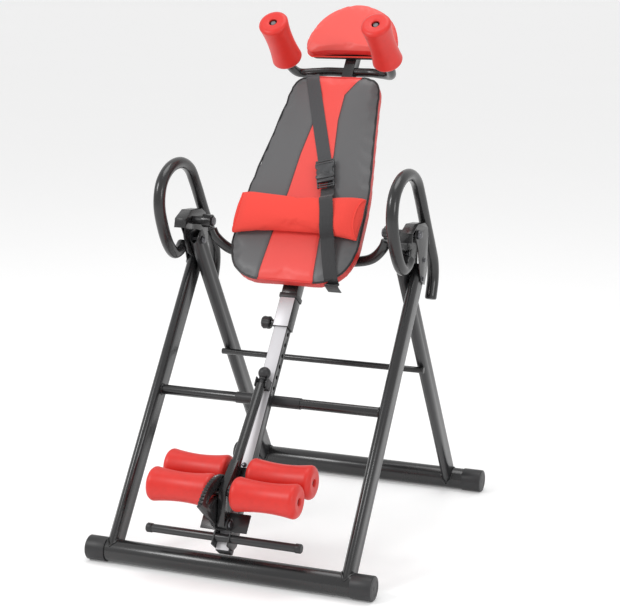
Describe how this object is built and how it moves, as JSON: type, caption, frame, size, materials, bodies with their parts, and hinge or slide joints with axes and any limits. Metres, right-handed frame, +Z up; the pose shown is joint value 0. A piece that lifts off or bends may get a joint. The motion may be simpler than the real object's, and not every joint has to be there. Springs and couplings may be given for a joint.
{
  "type": "inversion table",
  "caption": "Folding A-frame stand with a padded tilting bed, loop handles, sliding foot tube, lever-clamped ankle rollers, headrest and shoulder rollers.",
  "frame": {"origin": "on the floor, at the middle of the whole object's bounding box", "axes": "+X to the right seen from the front, -Y towards the front (the foot end), +Z up"},
  "size_m": [0.74, 1.0112, 1.3147],
  "materials": {
    "black_steel": "gloss black powder coat",
    "black_plastic": "moulded, fine grain",
    "bright_strip": "satin",
    "zinc_bolt": "dark zinc plate",
    "red_foam": "vinyl-skinned foam, satin",
    "red_vinyl": "padded vinyl, satin",
    "grey_vinyl": "padded vinyl with a red centre panel and black piping, satin",
    "webbing": "woven",
    "board": "black-stained plywood"
  },
  "bodies": {
    "stand": {"front_base_tube": "black_steel", "front_cap_left": "black_plastic", "front_cap_right": "black_plastic", "front_leg_left": "black_steel", "front_leg_right": "black_steel", "front_cross_bar": "black_steel", "cross_bar_bumper": "black_plastic", "pivot_bracket_left": "black_steel", "pivot_pin_left": "zinc_bolt", "fold_hinge_bolt_left": "zinc_bolt", "grab_handle_left": "black_steel", "pivot_bracket_right": "black_steel", "pivot_pin_right": "zinc_bolt", "fold_hinge_bolt_right": "zinc_bolt", "grab_handle_right": "black_steel"},
    "rear_frame": {"rear_base_tube": "black_steel", "rear_cap_left": "black_plastic", "rear_cap_right": "black_plastic", "rear_leg_left": "black_steel", "rear_leg_right": "black_steel", "rear_stop_bar": "black_steel"},
    "bed": {"swing_arm_left": "black_steel", "pivot_bush_left": "black_plastic", "shoulder_roller_left": "red_foam", "swing_arm_right": "black_steel", "pivot_bush_right": "black_plastic", "shoulder_roller_right": "red_foam", "bed_tube": "black_steel", "bed_tube_strip": "bright_strip", "bed_tube_collar": "black_plastic", "back_board": "board", "back_pad": "grey_vinyl", "headrest_pad": "red_vinyl", "headrest_post": "black_steel", "shoulder_bar": "black_steel", "lumbar_pillow": "red_vinyl", "strap_upper": "webbing", "strap_lower": "webbing", "buckle_socket": "black_plastic", "buckle_tongue": "black_plastic", "pull_pin_housing": "black_steel"},
    "pull_pin": {"pull_pin": "black_plastic"},
    "foot_slide": {"foot_tube": "black_steel", "foot_tube_strip": "bright_strip", "foot_bracket": "black_steel", "foot_bar": "black_steel", "ratchet_quadrant": "black_steel", "lever_pivot_bolt": "zinc_bolt", "rear_axle_mount": "black_steel", "rear_axle": "black_steel", "axle_mount_bolt": "zinc_bolt", "lever_guide": "black_plastic", "rear_ankle_roller_left": "red_foam", "rear_ankle_roller_right": "red_foam"},
    "ankle_clamp": {"ankle_lever": "black_steel", "front_axle": "black_steel", "front_ankle_roller_left": "red_foam", "front_ankle_roller_right": "red_foam"},
    "release_knob": {"lever_release_knob": "black_plastic"}
  },
  "joints": [
    {"name": "frame_fold", "type": "hinge", "parent": "stand", "child": "rear_frame", "pos_m": [0, 0.03733, 0.728], "axis": [-1, 0, 0], "range_deg": [0, 46]},
    {"name": "table_tilt", "type": "hinge", "parent": "stand", "child": "bed", "pos_m": [0, 0.03833, 0.778], "axis": [-1, 0, 0], "range_deg": [0, 104]},
    {"name": "boom_adjust", "type": "slide", "parent": "bed", "child": "foot_slide", "axis": [0, 0.6074, 0.7944], "range_m": [0, 0.145]},
    {"name": "pull_pin", "type": "slide", "parent": "bed", "child": "pull_pin", "axis": [-1, 0, 0], "range_m": [0, 0.01], "stiffness_N_per_m": 600, "springref_m": -0.002},
    {"name": "ankle_clamp", "type": "hinge", "parent": "foot_slide", "child": "ankle_clamp", "pos_m": [0, -0.41355, 0.14415], "axis": [1, 0, 0], "range_deg": [0, 42]},
    {"name": "release_knob", "type": "slide", "parent": "ankle_clamp", "child": "release_knob", "axis": [0, 0.6831, 0.7303], "range_m": [0, 0.01], "stiffness_N_per_m": 500, "springref_m": -0.002}
  ]
}
